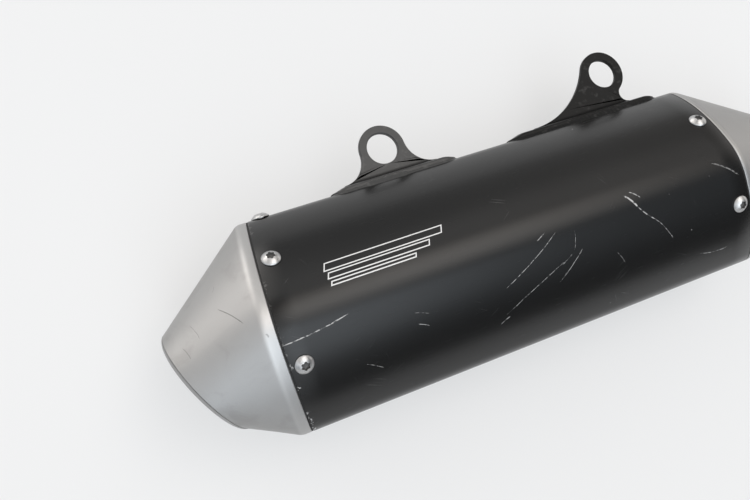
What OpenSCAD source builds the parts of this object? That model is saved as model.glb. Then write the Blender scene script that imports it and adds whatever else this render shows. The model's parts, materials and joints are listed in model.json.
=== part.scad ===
// Oval four-stroke exhaust silencer: aluminium sleeve, steel end caps, packed straight-through core.
// X runs along the exhaust axis with the inlet mouth at X = 0 and the outlet at the -X end.
// +Y is the side that carries the two hanger tabs, and +Z is the outer face.

/* [Sleeve] */
// Width of the sleeve, towards the hangers
sleeve_w = 120; // [116:1:124]
// Height of the sleeve, across its two faces
sleeve_h = 97; // [94:1:100]
// Length of the sleeve along the axis
sleeve_len = 296; // [270:1:330]
// Wall of the sleeve
sleeve_wall = 1.5; // [1.2:0.1:2]
// Radius of the four broad flanks of the oval
flank_r = 97; // [92:1:102]
// How far the sleeve's two ends lean back
end_lean = 13; // [8:0.5:16]
// How far each end is turned, so the hanger side is the shorter one
end_turn = 2.3; // [0:0.1:4]

/* [Rear cap] */
// Straight band of the rear cap next to the sleeve
rear_collar = 6.6; // [5:0.1:9]
// Wall of both caps
cap_wall = 1.5; // [1.2:0.1:2]
// Distance from the sleeve to the middle of the outlet
nose_reach = 44.2; // [42:0.2:54]
// Sideways offset of the outlet, away from the hangers
nose_drop = 14.2; // [8:0.2:16]
// Outer radius of the rolled outlet lip
nose_r = 34.4; // [33:0.1:37]
// Radius of the lip's roll
roll_r = 5; // [4:0.5:5]
// Turn of the outlet away from the hangers
nose_turn = 23.5; // [15:0.5:26]
// Tilt of the outlet towards the inner face
nose_tilt = 19; // [15:1:25]

/* [Front cap] */
// Straight band of the front cap next to the sleeve
front_collar = 3.5; // [3:0.1:6]
// Length of the front cone
cone_len = 50; // [44:1:60]
// Length of inlet pipe that stands out of the cone
pipe_reach = 45; // [42:1:60]

/* [Inlet and core] */
// Bore of the inlet that slips over the header pipe
inlet_bore_r = 24.2; // [23.8:0.1:24.4]
// Outer radius of the inlet pipe
inlet_r = 26; // [25.8:0.1:26.4]
// Depth that the header pipe goes in
slip_depth = 42; // [35:1:45]
// Outer radius of the perforated core
core_r = 25.4; // [25:0.1:25.6]
// Wall of the perforated core
core_wall = 1.5; // [1:0.1:1.5]
// Radius of one perforation
perforation_r = 2; // [1.5:0.1:2.5]
// Thickness of the steel wool round the core
wool_t = 4; // [3:0.5:8]

/* [Hangers] */
// Thickness of the hanger tabs
tab_t = 3; // [2.5:0.5:5]
// Radius of the grommet holes
tab_hole_r = 9.5; // [8.5:0.5:10]
// Outer radius of the rear tab's eye
rear_eye_r = 14.4; // [14:0.1:15.2]
// Outer radius of the front tab's eye
front_eye_r = 15; // [14.5:0.1:16]
// Rear hole's distance from the sleeve's rear end
rear_tab_x = 93; // [85:0.5:100]
// Rear hole's distance from the axis
rear_tab_y = 79; // [78:0.1:82]
// Distance between the two holes along the axis
tab_pitch = 162; // [140:1:180]
// Front hole's distance from the axis
front_tab_y = 85.7; // [84:0.1:88]
// Thickness of the saddle pads
pad_t = 3; // [2:0.5:4]

/* [Fasteners] */
// Distance of the screws from the sleeve's ends
screw_inset = 7.5; // [7:0.5:9]
// Radius of the button heads
head_r = 5.25; // [4.5:0.05:5.5]
// Height of the button heads
head_h = 2.9; // [2.5:0.1:3.3]

/* [Hidden] */
$fn = 64;

// places along the axis
sleeve_front_x = -(pipe_reach + cone_len);
sleeve_back_x = sleeve_front_x - sleeve_len;

// the oval: a ridge arc, a flank arc and an end arc in each quarter, all tangent
half_w = sleeve_w / 2;
half_h = sleeve_h / 2;
ridge_a = 20.5;
end_a = 55;
width_left = half_w - flank_r * (sin(end_a) - sin(ridge_a));
height_left = half_h - flank_r * (cos(ridge_a) - cos(end_a));
det = sin(ridge_a) * cos(end_a) - (1 - sin(end_a)) * (1 - cos(ridge_a));
ridge_r = (width_left * cos(end_a) - (1 - sin(end_a)) * height_left) / det;
end_r = (sin(ridge_a) * height_left - (1 - cos(ridge_a)) * width_left) / det;
ridge_steps = 5;
flank_steps = 12;
end_steps = 8;
quarter = concat(
    [for (i = [0 : ridge_steps - 1]) i * ridge_a / ridge_steps],
    [for (i = [0 : flank_steps - 1]) ridge_a + i * (end_a - ridge_a) / flank_steps],
    [for (i = [0 : end_steps - 1]) end_a + i * (90 - end_a) / end_steps]);
quarters = concat(quarter, [90], [for (i = [len(quarter) - 1 : -1 : 1]) 180 - quarter[i]]);
around = concat(quarters, [for (a = quarters) a + 180]);

// inner layout, as distances from the sleeve's ends
skirt_t = 1.5;
skirt_in = 22;
skirt_out_rear = rear_collar - 0.6;
skirt_out_front = front_collar - 0.5;
gasket_t = 0.8;
gasket_inset = 0.2;
plate_at = 18;
plate_t = 1.5;
packing_gap = 0.3;
skirt_depth = sleeve_wall + skirt_t;
core_back_x = sleeve_back_x + 10;
core_front_x = -(slip_depth + 19);
core_hole_r = core_r + 0.1;

// outlet
nose_low = 3;
nose_at = [sleeve_back_x - nose_reach, -nose_drop, -nose_low];
nose_out = [-cos(nose_tilt) * cos(nose_turn), -cos(nose_tilt) * sin(nose_turn), -sin(nose_tilt)];
nose_side = [-sin(nose_turn), cos(nose_turn), 0];
nose_up = cross(nose_side, nose_out);
seam_a = 30;
seam_at = roll_r * sin(seam_a);
seam_r = nose_r - roll_r + roll_r * cos(seam_a);
tube_wall = 1.5;
outlet_r = nose_r - roll_r - 0.4;
tube_top = roll_r - 1;
outlet_in_r = outlet_r - tube_wall;
outlet_len = 34;
flange_at = -8;
flange_t = 1.5;
screen_wall = 1;
screen_r = 20;
screen_len = 40;
screen_hole_r = 1.7;
snap_wire_r = 0.9;
groove_depth = 0.5;

// fasteners
shank_r = 2.9;
shank_len = 11;
clear_hole_r = 3.25;
nut_r = 5.5;
nut_t = 5;
nut_bore_r = 3;
dome_edge = 0.6;
dome_drop = head_h - dome_edge;
dome_r = (dome_drop * dome_drop + head_r * head_r) / (2 * dome_drop);
near_screw_a = 33.5;
far_screw_a = -30.5;
side_screw_a = 80;
front_screws = [near_screw_a, far_screw_a, 180 - near_screw_a, 180 - far_screw_a];
rear_screws = concat(front_screws, [side_screw_a]);

// hangers
pad_half_z = 8;
weld_w = 1.2;
weld_t = 1.2;
tab_weld = 1.2;
rear_hole_x = sleeve_back_x + rear_tab_x;
front_hole_x = rear_hole_x + tab_pitch;
rear_pad_ends = [-40, 41.5];
front_pad_ends = [-83, 28];
rear_fillet_r = 16;
front_long_r = 56;
front_short_r = 5.3;
tab_toe = 0.6;
tab_base_y = half_w + pad_t;
tab_foot_y = tab_base_y + tab_toe;
rear_foot = [-26, 26];
front_foot = [-56, 11];

far = 400;
over = 1;
sleeve_black = [0.13, 0.13, 0.14];
steel = [0.72, 0.71, 0.69];
screw_steel = [0.82, 0.82, 0.83];

// ---- the oval section and the two leaning end planes ----

// A point of the oval in its (y, z) plane, for the outward normal at angle a from +Z towards +Y
function quarter_point(m, inset) =
    m <= ridge_a ? [(ridge_r - inset) * sin(m), half_h - ridge_r + (ridge_r - inset) * cos(m)]
    : m <= end_a ? [(ridge_r - flank_r) * sin(ridge_a) + (flank_r - inset) * sin(m),
        half_h - ridge_r + (ridge_r - flank_r) * cos(ridge_a) + (flank_r - inset) * cos(m)]
    : [half_w - end_r + (end_r - inset) * sin(m), (end_r - inset) * cos(m)];

function turn_side(a) = sin(a) < 0 ? -1 : 1;
function turn_up(a) = cos(a) < 0 ? -1 : 1;
function folded(a) = asin(min(1, abs(sin(a))));
function oval_point(a, inset) =
    let (p = quarter_point(folded(a), inset)) [turn_side(a) * p[0], turn_up(a) * p[1]];
function local_r(a) = folded(a) <= ridge_a ? ridge_r : folded(a) <= end_a ? flank_r : end_r;

// A straight bar with the oval as its section, inset from the sleeve's outer face
module oval_bar(inset, x0, x1) {
    translate([x0, 0, 0]) rotate([90, 0, 90]) linear_extrude(x1 - x0)
        polygon([for (a = around) oval_point(a, inset)]);
}

module oval_pipe(inset, wall, x0, x1) {
    difference() {
        oval_bar(inset, x0, x1);
        oval_bar(inset + wall, x0 - over, x1 + over);
    }
}

// Slabs parallel to the leaning ends, from one distance to another along the axis
module rear_slab(from, to) {
    translate([sleeve_back_x + from, 0, 0]) rotate([0, -end_lean, -end_turn])
        translate([0, -far / 2, -far / 2])
            cube([(to - from) * cos(end_lean) * cos(end_turn), far, far]);
}

module front_slab(from, to) {
    translate([sleeve_front_x + from, 0, 0]) rotate([0, -end_lean, end_turn])
        translate([0, -far / 2, -far / 2])
            cube([(to - from) * cos(end_lean) * cos(end_turn), far, far]);
}

// What lies between the two packing plates, or any other pair of leaning planes
module between_ends(rear_from, front_to) {
    difference() {
        children();
        rear_slab(rear_from - far / 2, rear_from);
        front_slab(front_to, front_to + far / 2);
    }
}

module rear_ring(inset, wall, from, to) {
    intersection() {
        oval_pipe(inset, wall, sleeve_back_x - far / 4, sleeve_back_x + far / 4);
        rear_slab(from, to);
    }
}

module front_ring(inset, wall, from, to) {
    intersection() {
        oval_pipe(inset, wall, sleeve_front_x - far / 4, sleeve_front_x + far / 4);
        front_slab(from, to);
    }
}

// Rims that the cones are lofted between, one point for each direction of the oval
function rear_rim(inset, at) = [for (a = around) let (p = oval_point(a, inset))
    [sleeve_back_x + at + p[0] * tan(end_turn) - p[1] * tan(end_lean) / cos(end_turn), p[0], p[1]]];
function front_rim(inset, at) = [for (a = around) let (p = oval_point(a, inset))
    [sleeve_front_x + at - p[0] * tan(end_turn) - p[1] * tan(end_lean) / cos(end_turn), p[0], p[1]]];
function round_rim(r, x) = [for (a = around) [x, r * sin(a), r * cos(a)]];
function nose_rim(r, at) = [for (a = around) nose_at + r * cos(a) * nose_up + r * sin(a) * nose_side
    + at * nose_out];

// A closed solid through a list of rims, the first of them nearest the inlet
module loft(rims) {
    n = len(around);
    last = (len(rims) - 1) * n;
    polyhedron(points = [for (rim = rims) each rim],
        faces = concat([[for (i = [0 : n - 1]) i]],
            [for (k = [0 : len(rims) - 2], i = [0 : n - 1]) each
                [[k * n + i, (k + 1) * n + i, k * n + (i + 1) % n],
                [k * n + (i + 1) % n, (k + 1) * n + i, (k + 1) * n + (i + 1) % n]]],
            [[for (i = [n - 1 : -1 : 0]) last + i]]));
}

module along_x(x) translate([x, 0, 0]) rotate([0, 90, 0]) children();

module pipe_x(r, wall, x0, x1) {
    along_x(x0) difference() {
        cylinder(r = r, h = x1 - x0);
        translate([0, 0, -over]) cylinder(r = r - wall, h = x1 - x0 + 2 * over);
    }
}

// ---- placing the screws ----

// Places its children on the sleeve with +Z along the outward normal at angle a
module at_rear_screw(a) {
    p = oval_point(a, 0);
    translate([sleeve_back_x + screw_inset + p[0] * tan(end_turn)
        - p[1] * tan(end_lean) / cos(end_turn), p[0], p[1]]) rotate([-a, 0, 0]) children();
}

module at_front_screw(a) {
    p = oval_point(a, 0);
    translate([sleeve_front_x - screw_inset - p[0] * tan(end_turn)
        - p[1] * tan(end_lean) / cos(end_turn), p[0], p[1]]) rotate([-a, 0, 0]) children();
}

module clearance_hole() {
    translate([0, 0, -skirt_depth - 2]) cylinder(r = clear_hole_r, h = skirt_depth + 4);
}

module button_screw() {
    lobe_r = 0.62;
    lobe_at = 1.85;
    drive_depth = 1.8;
    difference() {
        union() {
            intersection() {
                cylinder(r = head_r, h = head_h);
                translate([0, 0, head_h - dome_r]) sphere(r = dome_r);
            }
            translate([0, 0, -shank_len]) cylinder(r = shank_r, h = shank_len + dome_edge);
        }
        translate([0, 0, head_h - drive_depth]) {
            cylinder(r = lobe_at, h = drive_depth + over);
            for (i = [0 : 5]) rotate(i * 60) translate([lobe_at, 0, 0])
                cylinder(r = lobe_r, h = drive_depth + over, $fn = 24);
        }
    }
}

// A weld nut whose flat face touches the inside of the curved skirt
module weld_nut(a) {
    stand_off = nut_r * nut_r / (2 * (local_r(a) - skirt_depth)) + 0.05;
    translate([0, 0, -skirt_depth - stand_off - nut_t]) difference() {
        cylinder(r = nut_r, h = nut_t, $fn = 6);
        translate([0, 0, -over]) cylinder(r = nut_bore_r, h = nut_t + 2 * over);
    }
}

// ---- sleeve and packing ----

module sleeve() {
    color(sleeve_black) difference() {
        between_ends(0, 0)
            oval_pipe(0, sleeve_wall, sleeve_back_x - far / 8, sleeve_front_x + far / 8);
        for (a = rear_screws) at_rear_screw(a) clearance_hole();
        for (a = front_screws) at_front_screw(a) clearance_hole();
    }
}

module core_tube() {
    rows = 14;
    holes = 6;
    plain_end = 32;
    first = core_back_x + plain_end;
    last = sleeve_front_x - plain_end;
    pitch = (last - first) / (rows - 1);
    color(steel) difference() {
        pipe_x(core_r, core_wall, core_back_x, core_front_x);
        for (row = [0 : rows - 1], i = [0 : holes - 1])
            translate([first + row * pitch, 0, 0]) rotate([(i + (row % 2) / 2) * 360 / holes, 0, 0])
                translate([0, 0, core_r / 2]) cylinder(r = perforation_r, h = core_r, $fn = 24);
    }
}

module steel_wool() {
    color("dimgray") between_ends(plate_at + plate_t + packing_gap, -plate_at - plate_t - packing_gap)
        pipe_x(core_hole_r + wool_t, wool_t, sleeve_back_x - half_w, sleeve_front_x + half_w);
}

module glass_packing() {
    color("wheat") between_ends(plate_at + plate_t + packing_gap, -plate_at - plate_t - packing_gap)
        difference() {
            oval_bar(skirt_depth + packing_gap, sleeve_back_x - half_w, sleeve_front_x + half_w);
            along_x(sleeve_back_x - half_w - over)
                cylinder(r = core_hole_r + wool_t + 0.1, h = sleeve_len + sleeve_w + 2 * over);
        }
}

// ---- rear cap and outlet ----

// Places its children in the outlet's mouth with +Z pointing out of it
module at_nose() {
    translate(nose_at) rotate([0, 90 + nose_tilt, 180 + nose_turn]) children();
}

module rear_cap() {
    color(steel) difference() {
        loft([rear_rim(0, -gasket_t), rear_rim(0, -rear_collar), nose_rim(seam_r, seam_at)]);
        loft([rear_rim(cap_wall, over), rear_rim(cap_wall, -rear_collar),
            nose_rim(seam_r - cap_wall, seam_at - over), nose_rim(seam_r - cap_wall, seam_at + over)]);
    }
}

module rear_cap_skirt() {
    color(steel) difference() {
        rear_ring(sleeve_wall, skirt_t, -skirt_out_rear, skirt_in);
        for (a = rear_screws) at_rear_screw(a) clearance_hole();
    }
}

module rear_cap_gasket() {
    color("dimgray") rear_ring(gasket_inset, sleeve_wall - gasket_inset, -gasket_t, 0);
}

module rear_cap_screws() {
    color(screw_steel) for (a = rear_screws) at_rear_screw(a) button_screw();
}

module rear_cap_nuts() {
    color("gray") for (a = rear_screws) at_rear_screw(a) weld_nut(a);
}

module rear_packing_plate() {
    color(steel) difference() {
        intersection() {
            oval_bar(skirt_depth, sleeve_back_x - far / 4, sleeve_back_x + far / 4);
            rear_slab(plate_at, plate_at + plate_t);
        }
        along_x(sleeve_back_x - far / 8) cylinder(r = core_hole_r, h = far / 4);
    }
}

module outlet_lip() {
    color(steel) at_nose() rotate_extrude() intersection() {
        translate([nose_r - roll_r, 0]) circle(r = roll_r);
        translate([outlet_r, seam_at]) square(roll_r);
    }
}

module outlet_tube() {
    color("dimgray") at_nose() difference() {
        translate([0, 0, -outlet_len]) cylinder(r = outlet_r, h = outlet_len + tube_top);
        translate([0, 0, -outlet_len - over])
            cylinder(r = outlet_in_r, h = outlet_len + tube_top + 2 * over);
        rotate_extrude() translate([outlet_in_r, flange_at + flange_t + snap_wire_r])
            circle(r = groove_depth, $fn = 24);
    }
}

module spark_screen() {
    rows = 3;
    holes = 8;
    end_hole_r = screen_r / 3;
    color("gray") at_nose() translate([0, 0, flange_at - screen_len]) difference() {
        cylinder(r = screen_r, h = screen_len);
        translate([0, 0, screen_wall]) cylinder(r = screen_r - screen_wall, h = screen_len);
        for (row = [0 : rows - 1], i = [0 : holes - 1]) rotate((i + row / 2) * 360 / holes)
            translate([screen_r / 2, 0, (row + 1) * screen_len / (rows + 1)]) rotate([0, 90, 0])
                cylinder(r = screen_hole_r, h = screen_r, $fn = 24);
        translate([0, 0, -over]) cylinder(r = end_hole_r, h = screen_wall + 2 * over);
    }
}

module screen_flange() {
    color("gray") at_nose() translate([0, 0, flange_at]) difference() {
        cylinder(r = outlet_in_r - 0.1, h = flange_t);
        translate([0, 0, -over]) cylinder(r = screen_r - screen_wall, h = flange_t + 2 * over);
    }
}

module screen_snap_ring() {
    gap = 9;
    ring_r = outlet_in_r + groove_depth - snap_wire_r - 0.1;
    color("silver") at_nose() translate([0, 0, flange_at + flange_t + snap_wire_r]) difference() {
        rotate_extrude() translate([ring_r, 0]) circle(r = snap_wire_r, $fn = 24);
        translate([0, -gap / 2, -snap_wire_r * 2]) cube([nose_r, gap, snap_wire_r * 4]);
    }
}

// ---- front cap and inlet ----

module front_cap() {
    cone_end_x = sleeve_front_x + cone_len;
    color(steel) difference() {
        loft([round_rim(inlet_r + cap_wall, cone_end_x), front_rim(0, front_collar),
            front_rim(0, gasket_t)]);
        loft([round_rim(inlet_r - over, cone_end_x - cap_wall), front_rim(cap_wall, front_collar),
            front_rim(cap_wall, -over)]);
        along_x(sleeve_front_x) cylinder(r = inlet_r, h = cone_len + over);
    }
}

module front_cap_skirt() {
    color(steel) difference() {
        front_ring(sleeve_wall, skirt_t, -skirt_in, skirt_out_front);
        for (a = front_screws) at_front_screw(a) clearance_hole();
    }
}

module front_cap_gasket() {
    color("dimgray") front_ring(gasket_inset, sleeve_wall - gasket_inset, 0, gasket_t);
}

module front_cap_screws() {
    color(screw_steel) for (a = front_screws) at_front_screw(a) button_screw();
}

module front_cap_nuts() {
    color("gray") for (a = front_screws) at_front_screw(a) weld_nut(a);
}

module front_packing_plate() {
    color(steel) difference() {
        intersection() {
            oval_bar(skirt_depth, sleeve_front_x - far / 4, sleeve_front_x + far / 4);
            front_slab(-plate_at - plate_t, -plate_at);
        }
        along_x(sleeve_front_x - far / 8) cylinder(r = core_hole_r, h = far / 4);
    }
}

module inlet_pipe() {
    slot_w = 2.5;
    slot_len = 20;
    color(steel) difference() {
        along_x(core_front_x) cylinder(r = inlet_r, h = -core_front_x);
        along_x(-slip_depth) cylinder(r = inlet_bore_r, h = slip_depth + over);
        along_x(core_front_x - over) cylinder(r = core_r - core_wall, h = far / 4);
        for (a = [45 : 90 : 315]) rotate([a, 0, 0]) {
            translate([-slot_len, -slot_w / 2, 0]) cube([slot_len + over, slot_w, inlet_r + over]);
            translate([-slot_len, 0, 0]) cylinder(r = slot_w, h = inlet_r + over, $fn = 32);
        }
    }
}

module inlet_pipe_weld() {
    bead_r = 2;
    color("gray") along_x(sleeve_front_x + cone_len) difference() {
        rotate_extrude() translate([inlet_r + bead_r / 2, 0]) circle(r = bead_r, $fn = 32);
        translate([0, 0, -over - bead_r]) cylinder(r = far, h = over + bead_r);
        translate([0, 0, -bead_r]) cylinder(r = inlet_r, h = 3 * bead_r);
    }
}

// ---- hangers ----

// A prism along Y with round ends, from one distance to another along X about a hole
module round_prism(hole_x, ends, half_z) {
    translate([hole_x, 0, 0]) rotate([-90, 0, 0]) union() {
        for (e = [ends[0] + half_z, ends[1] - half_z])
            translate([e, 0, 0]) cylinder(r = half_z, h = far);
        translate([ends[0] + half_z, -half_z, 0])
            cube([ends[1] - ends[0] - 2 * half_z, 2 * half_z, far]);
    }
}

module hanger_pad(hole_x, ends) {
    color(sleeve_black) intersection() {
        oval_pipe(-pad_t, pad_t, hole_x + ends[0] - over, hole_x + ends[1] + over);
        round_prism(hole_x, ends, pad_half_z);
    }
}

// The web under the eye, with a round fillet on each side, down to the pad
module tab_web(hole_y, eye_r, rear_r, front_r) {
    rise = hole_y - tab_foot_y;
    reach_rear = sqrt(pow(eye_r + rear_r, 2) - pow(rise - rear_r, 2));
    reach_front = sqrt(pow(eye_r + front_r, 2) - pow(rise - front_r, 2));
    difference() {
        polygon([[-reach_rear, half_w - over], [-reach_rear, tab_foot_y + rear_r], [0, hole_y],
            [reach_front, tab_foot_y + front_r], [reach_front, half_w - over]]);
        translate([-reach_rear, tab_foot_y + rear_r]) circle(r = rear_r, $fn = 128);
        translate([reach_front, tab_foot_y + front_r]) circle(r = front_r);
    }
}

module hanger_tab(hole_x, hole_y, eye_r, rear_r, front_r) {
    color(sleeve_black) translate([hole_x, 0, -tab_t / 2]) difference() {
        union() {
            linear_extrude(tab_t) tab_web(hole_y, eye_r, rear_r, front_r);
            translate([0, hole_y, 0]) cylinder(r = eye_r, h = tab_t);
        }
        translate([0, hole_y, -over]) cylinder(r = tab_hole_r, h = tab_t + 2 * over);
        translate([0, 0, tab_t / 2]) oval_bar(-pad_t, -far / 4, far / 4);
    }
}

// The bead round the pad, and a fillet along each face of the tab
module hanger_welds(hole_x, ends, foot) {
    wider = [ends[0] - weld_w, ends[1] + weld_w];
    color(sleeve_black) union() {
        difference() {
            intersection() {
                oval_pipe(-weld_t, weld_t, hole_x + wider[0] - over, hole_x + wider[1] + over);
                round_prism(hole_x, wider, pad_half_z + weld_w);
            }
            round_prism(hole_x, ends, pad_half_z);
        }
        for (side = [-1, 1]) difference() {
            translate([hole_x + foot[0], tab_base_y - over, side * tab_t / 2])
                rotate([90, 0, 90]) linear_extrude(foot[1] - foot[0])
                    polygon([[0, 0], [tab_weld + over, 0], [0, side * (tab_weld + over)]]);
            oval_bar(-pad_t, hole_x - far / 4, hole_x + far / 4);
        }
    }
}

module rear_hanger_pad() hanger_pad(rear_hole_x, rear_pad_ends);
module rear_hanger_tab()
    hanger_tab(rear_hole_x, rear_tab_y, rear_eye_r, rear_fillet_r, rear_fillet_r);
module rear_hanger_welds() hanger_welds(rear_hole_x, rear_pad_ends, rear_foot);
module front_hanger_pad() hanger_pad(front_hole_x, front_pad_ends);
module front_hanger_tab()
    hanger_tab(front_hole_x, front_tab_y, front_eye_r, front_long_r, front_short_r);
module front_hanger_welds() hanger_welds(front_hole_x, front_pad_ends, front_foot);

sleeve();
rear_cap();
rear_cap_skirt();
rear_cap_gasket();
rear_cap_screws();
rear_cap_nuts();
rear_packing_plate();
outlet_lip();
outlet_tube();
spark_screen();
screen_flange();
screen_snap_ring();
front_cap();
front_cap_skirt();
front_cap_gasket();
front_cap_screws();
front_cap_nuts();
front_packing_plate();
inlet_pipe();
inlet_pipe_weld();
core_tube();
steel_wool();
glass_packing();
rear_hanger_pad();
rear_hanger_tab();
rear_hanger_welds();
front_hanger_pad();
front_hanger_tab();
front_hanger_welds();
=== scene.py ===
"""Looks of an oval exhaust silencer: black sleeve, blasted steel caps and two hanger tabs, lying on a
pale floor. Everything is in metres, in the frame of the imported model: X along the axis with the
inlet at X = 0, +Y towards the hangers, +Z up."""

import json
import math
import random

import bmesh
import bpy
from mathutils import Matrix, Vector

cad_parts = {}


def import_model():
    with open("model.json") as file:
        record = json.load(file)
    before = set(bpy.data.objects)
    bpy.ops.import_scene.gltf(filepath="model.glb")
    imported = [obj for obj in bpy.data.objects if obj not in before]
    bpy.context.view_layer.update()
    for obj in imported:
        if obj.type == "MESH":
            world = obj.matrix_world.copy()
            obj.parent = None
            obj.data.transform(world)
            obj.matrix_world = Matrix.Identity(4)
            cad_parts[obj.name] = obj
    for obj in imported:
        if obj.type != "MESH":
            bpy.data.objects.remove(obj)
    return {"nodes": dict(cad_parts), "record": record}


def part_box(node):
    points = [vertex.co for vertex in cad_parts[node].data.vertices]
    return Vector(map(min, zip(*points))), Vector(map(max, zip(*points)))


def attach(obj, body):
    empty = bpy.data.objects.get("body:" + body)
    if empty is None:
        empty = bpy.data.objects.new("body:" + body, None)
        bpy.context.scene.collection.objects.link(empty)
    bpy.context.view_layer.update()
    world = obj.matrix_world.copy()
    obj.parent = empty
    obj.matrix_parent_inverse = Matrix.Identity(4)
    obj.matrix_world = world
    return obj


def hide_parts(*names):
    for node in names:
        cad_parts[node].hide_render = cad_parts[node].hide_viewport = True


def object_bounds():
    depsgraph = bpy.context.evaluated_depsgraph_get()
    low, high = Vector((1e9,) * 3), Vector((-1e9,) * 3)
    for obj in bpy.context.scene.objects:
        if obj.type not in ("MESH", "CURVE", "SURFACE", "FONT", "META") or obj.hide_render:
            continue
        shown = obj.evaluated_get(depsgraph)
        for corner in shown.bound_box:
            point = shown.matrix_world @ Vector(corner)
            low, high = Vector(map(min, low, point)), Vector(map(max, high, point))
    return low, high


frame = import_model()
CAD_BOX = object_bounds()
MM = 0.001
random.seed(12)

# ---- sizes that the frame gives ----


def middle(node):
    low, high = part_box(node)
    return (low + high) / 2


def mount_at(name):
    for mount in frame["record"]["mounts"]:
        if mount["name"] == name:
            return Vector(mount["pos_m"])
    raise KeyError(name)


GASKET_T = 0.8 * MM
PACKING_INSET = 3.3 * MM
SLEEVE_BACK = middle("rear_cap_gasket").x + GASKET_T / 2
SLEEVE_FRONT = middle("front_cap_gasket").x - GASKET_T / 2
HALF_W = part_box("glass_packing")[1].y + PACKING_INSET
HALF_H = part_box("glass_packing")[1].z + PACKING_INSET
FLOOR_Z = CAD_BOX[0].z
REAR_HOLE = mount_at("rear_hanger")
FRONT_HOLE = mount_at("front_hanger")

# ---- sizes of the design ----

END_LEAN = math.radians(13)
END_TURN = math.radians(2.3)
SLEEVE_WALL = 1.5 * MM
CAP_WALL = 1.5 * MM

# the oval: ridge, flank and end arcs, all tangent, by the angle of the outward normal from +Z
RIDGE_A = math.radians(20.5)
END_A = math.radians(55)
FLANK_R = 97 * MM


def solve_oval():
    """The radii of the ridge and end arcs that make the oval's width and height come out."""
    sin_r, cos_r = math.sin(RIDGE_A), math.cos(RIDGE_A)
    sin_e, cos_e = math.sin(END_A), math.cos(END_A)
    width = HALF_W - FLANK_R * (sin_e - sin_r)
    height = HALF_H - FLANK_R * (cos_r - cos_e)
    det = sin_r * cos_e - (1 - sin_e) * (1 - cos_r)
    ridge = (width * cos_e - (1 - sin_e) * height) / det
    end = (sin_r * height - (1 - cos_r) * width) / det
    return ridge, end


RIDGE_R, END_R = solve_oval()

REAR_COLLAR = 6.6 * MM
NOSE_REACH = 44.2 * MM
NOSE_DROP = 14.2 * MM
NOSE_LOW = 3 * MM
NOSE_AT = Vector((SLEEVE_BACK - NOSE_REACH, -NOSE_DROP, -NOSE_LOW))
NOSE_TURN = math.radians(23.5)
NOSE_TILT = math.radians(19)
NOSE_OUT = Vector((
    -math.cos(NOSE_TILT) * math.cos(NOSE_TURN),
    -math.cos(NOSE_TILT) * math.sin(NOSE_TURN),
    -math.sin(NOSE_TILT)))
NOSE_SIDE = Vector((-math.sin(NOSE_TURN), math.cos(NOSE_TURN), 0))
NOSE_UP = NOSE_SIDE.cross(NOSE_OUT)
NOSE_R = 34.4 * MM
ROLL_R = 5 * MM
SEAM_A = math.radians(30)
SEAM_AT = ROLL_R * math.sin(SEAM_A)
SEAM_R = NOSE_R - ROLL_R + ROLL_R * math.cos(SEAM_A)
LIP_GAP = 0.4 * MM
OUTLET_R = NOSE_R - ROLL_R - LIP_GAP
TUBE_WALL = 1.5 * MM
SNAP_GROOVE = 0.5 * MM
SCREEN_DEPTH = 8 * MM
FLANGE_T = 1.5 * MM

FRONT_COLLAR = 3.5 * MM
CONE_LEN = 50 * MM
INLET_R = 26 * MM

SCREW_INSET = 7.5 * MM
HEAD_R = 5.25 * MM
HEAD_H = 2.9 * MM
SHANK_R = 2.9 * MM
SHANK_LEN = 11 * MM
FRONT_SCREWS = [33.5, -30.5, 146.5, 210.5]
REAR_SCREWS = FRONT_SCREWS + [80]

TAB_T = 3 * MM
TAB_HOLE_R = 9.5 * MM
PAD_T = 3 * MM
PAD_HALF_Z = 8 * MM


class Hanger:
    """One hanger: its hole, the radius of its eye, the fillets beside it, and its pad and weld runs."""

    def __init__(self, name, hole, eye_r, fillets, pad_ends, foot, stitch):
        self.name = name
        self.hole = hole
        self.eye_r = eye_r * MM
        self.fillets = [r * MM for r in fillets]
        self.pad_ends = [hole.x + x * MM for x in pad_ends]
        self.foot = [hole.x + x * MM for x in foot]
        self.stitch = [hole.x + x * MM for x in stitch]


HANGERS = [
    Hanger("rear", REAR_HOLE, 14.4, (16, 16), (-40, 41.5), (-26, 26), (-19, 6)),
    Hanger("front", FRONT_HOLE, 15, (56, 5.3), (-83, 28), (-56, 11), (-40, 4))]

# ---- the oval ----


def quarter(m, inset):
    """(y, z) in the +Y +Z quarter for the outward normal at m, this far inside the sleeve's face."""
    if m <= RIDGE_A:
        reach = RIDGE_R - inset
        return reach * math.sin(m), HALF_H - RIDGE_R + reach * math.cos(m)
    if m <= END_A:
        reach = FLANK_R - inset
        rest = RIDGE_R - FLANK_R
        return (rest * math.sin(RIDGE_A) + reach * math.sin(m),
                HALF_H - RIDGE_R + rest * math.cos(RIDGE_A) + reach * math.cos(m))
    reach = END_R - inset
    return HALF_W - END_R + reach * math.sin(m), reach * math.cos(m)


def oval(a, inset=0.0):
    """(y, z) of the oval where the outward normal is at angle a from +Z towards +Y."""
    y, z = quarter(math.asin(min(1.0, abs(math.sin(a)))), inset)
    return math.copysign(y, math.sin(a)), math.copysign(z, math.cos(a))


def arc_to(m):
    """Length along the face from the ridge to where the normal is at m, in one quarter."""
    length = RIDGE_R * min(m, RIDGE_A)
    length += FLANK_R * max(0.0, min(m, END_A) - RIDGE_A)
    return length + END_R * max(0.0, m - END_A)


def arc_at(a):
    """Signed length along the face from the upper ridge, for a from -180 to 180 degrees."""
    m = abs(a)
    half = math.pi / 2
    length = arc_to(m) if m <= half else 2 * arc_to(half) - arc_to(math.pi - m)
    return math.copysign(length, a)


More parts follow.
